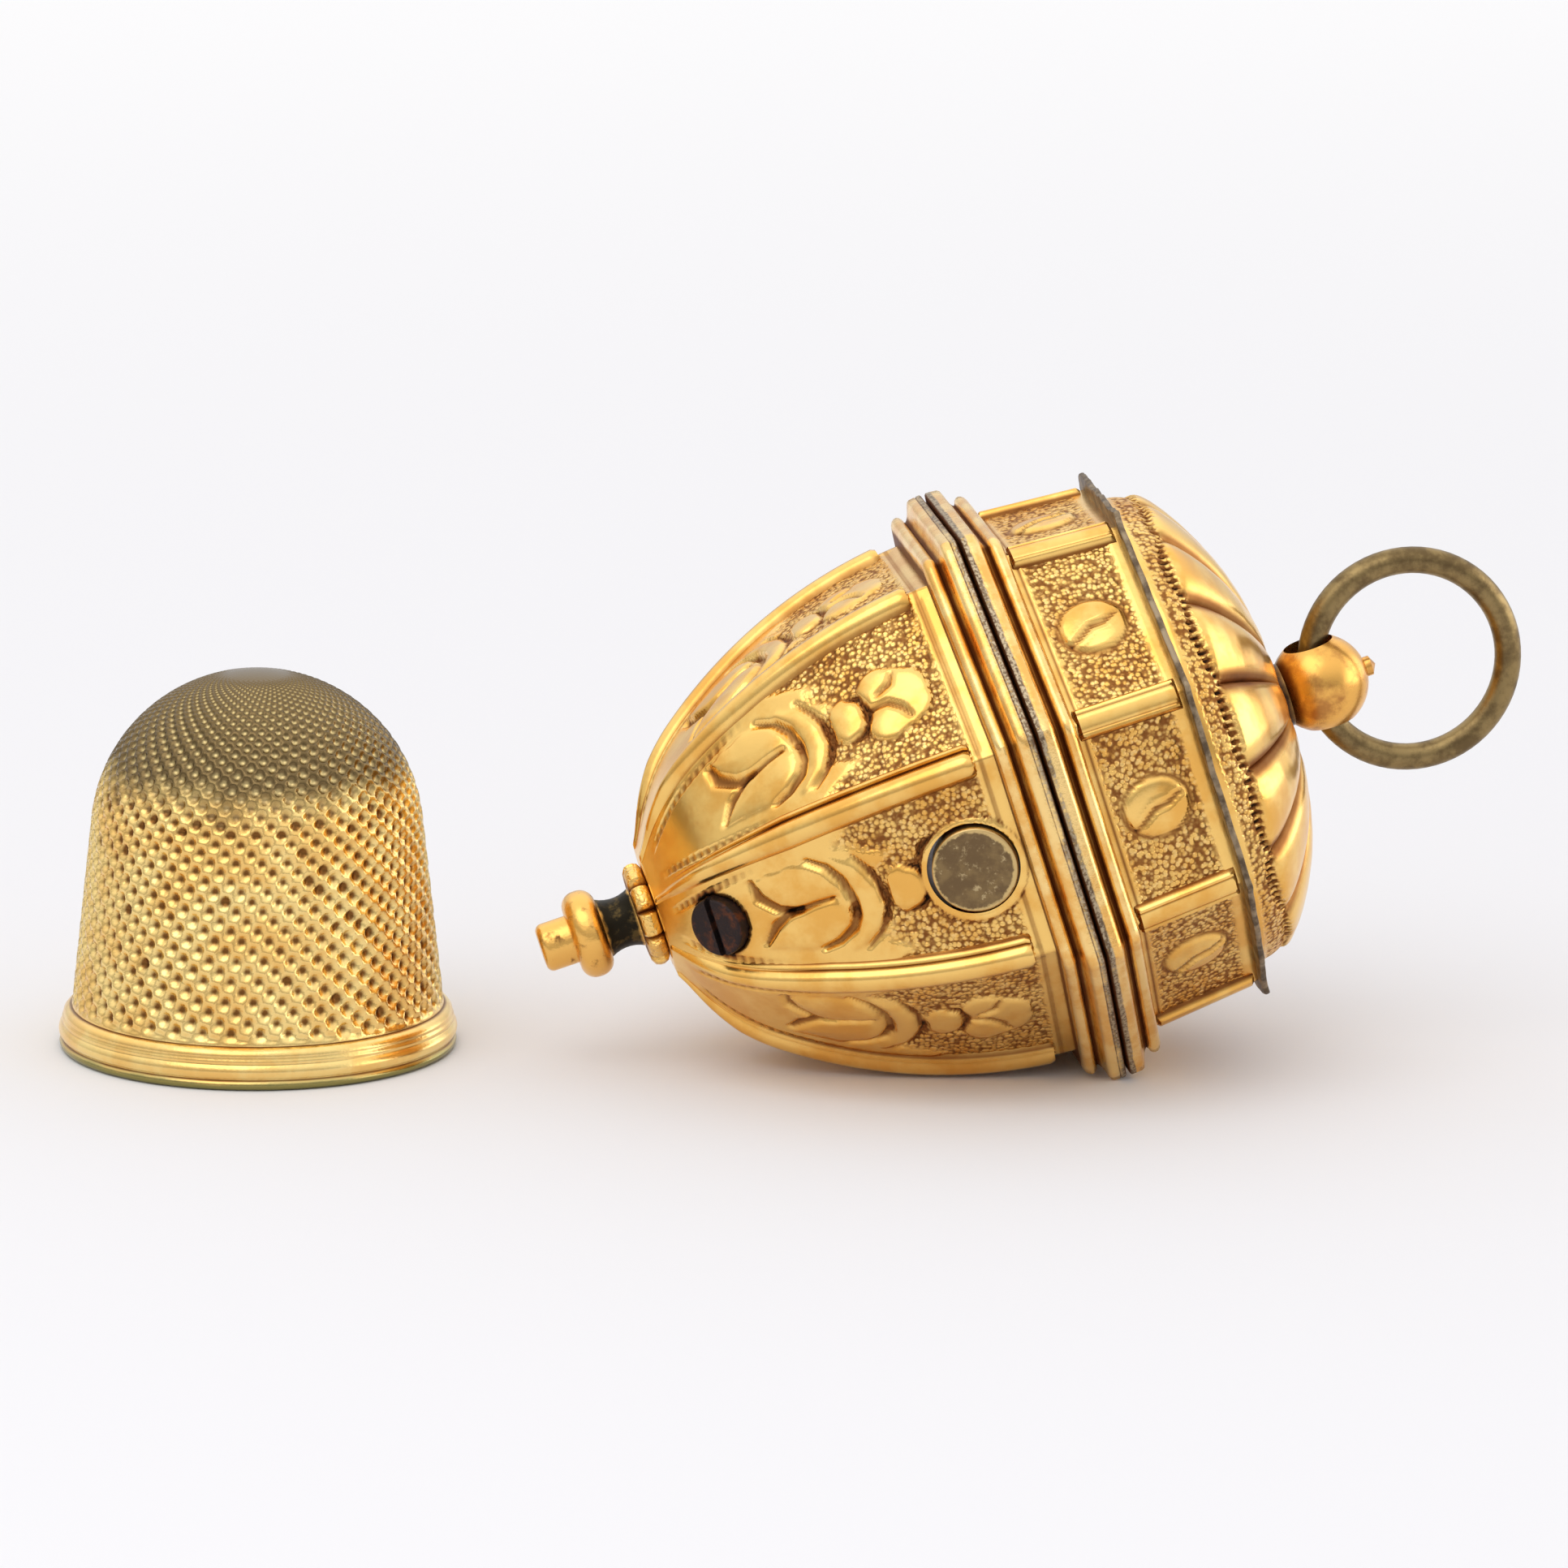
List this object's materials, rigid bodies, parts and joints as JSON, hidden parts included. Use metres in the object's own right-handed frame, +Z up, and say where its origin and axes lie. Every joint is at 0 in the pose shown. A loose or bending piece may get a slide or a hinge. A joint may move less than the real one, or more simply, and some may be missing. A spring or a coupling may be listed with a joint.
{
  "type": "sewing etui",
  "caption": "Eight-sided acorn-shaped gilt brass etui with hinged lid, push-button catch and hanging ring, lying beside the dimpled thimble it holds.",
  "frame": {"origin": "on the table, under the middle of the box round the case and the thimble", "axes": "+Z up, +X along the length of the set from the thimble to the case's hanging ring, -Y towards the viewer, who sees the push button"},
  "size_m": [0.0656, 0.0278, 0.0259],
  "materials": {
    "gilt_brass": "die-stamped and fire-gilt, rubbed bright on the high places, brown in the hollows",
    "seam_brass": "gilt mouldings, tarnished dark in the coves",
    "ring_brass": "plain brass, dull olive brown",
    "button_bronze": "worn brown-grey disc with a bright edge",
    "plate_edge": "thin plate with a rough grey edge",
    "iron": "dark iron screw with a trace of rust",
    "spring_steel": "blued strip, dull",
    "velvet": "worn crimson velvet over card (guessed)",
    "silk": "padded silk (guessed)",
    "thimble_brass": "gilt brass, dimpled all over, olive at the crown"
  },
  "bodies": {
    "case": {"body_shell": "gilt_brass", "body_rim": "seam_brass", "body_bezel": "seam_brass", "tip_collar": "gilt_brass", "finial": "gilt_brass", "finial_washer": "seam_brass", "spring_foot": "spring_steel", "spring_nut": "iron", "spring_screw": "iron", "body_knuckles": "seam_brass", "hinge_pin": "seam_brass", "body_lining": "velvet"},
    "catch": {"catch_spring": "spring_steel", "push_button": "button_bronze"},
    "lid": {"lid_rim": "seam_brass", "lid_wall": "gilt_brass", "lid_plate": "plate_edge", "lid_dome": "gilt_brass", "ball_knob": "gilt_brass", "knob_washer": "seam_brass", "lid_knuckle": "seam_brass", "lid_strike": "seam_brass", "lid_pad": "silk"},
    "hanging_ring": {"ring": "ring_brass"},
    "loose_thimble": {"thimble": "thimble_brass"}
  },
  "joints": [
    {"name": "lid_hinge", "type": "hinge", "parent": "case", "child": "lid", "pos_m": [0.01028, 0.01294, 0.01251], "axis": [-0.312, 0, 0.9501], "range_deg": [0, 110]},
    {"name": "button_press", "type": "hinge", "parent": "case", "child": "catch", "pos_m": [-0.00168, -0.00789, 0.00858], "axis": [-0.312, 0, 0.9501], "range_deg": [0, 2.8], "stiffness_Nm_per_rad": 0.3, "springref_deg": -1.15},
    {"name": "ring_swing", "type": "hinge", "parent": "lid", "child": "hanging_ring", "pos_m": [0.02363, -0.00104, 0.01689], "axis": [-0.312, 0, 0.9501], "range_deg": [-100, 100]},
    {"name": "thimble_lift", "type": "slide", "parent": "case", "child": "loose_thimble", "axis": [0, 0, 1], "range_m": [0, 0.03]}
  ]
}
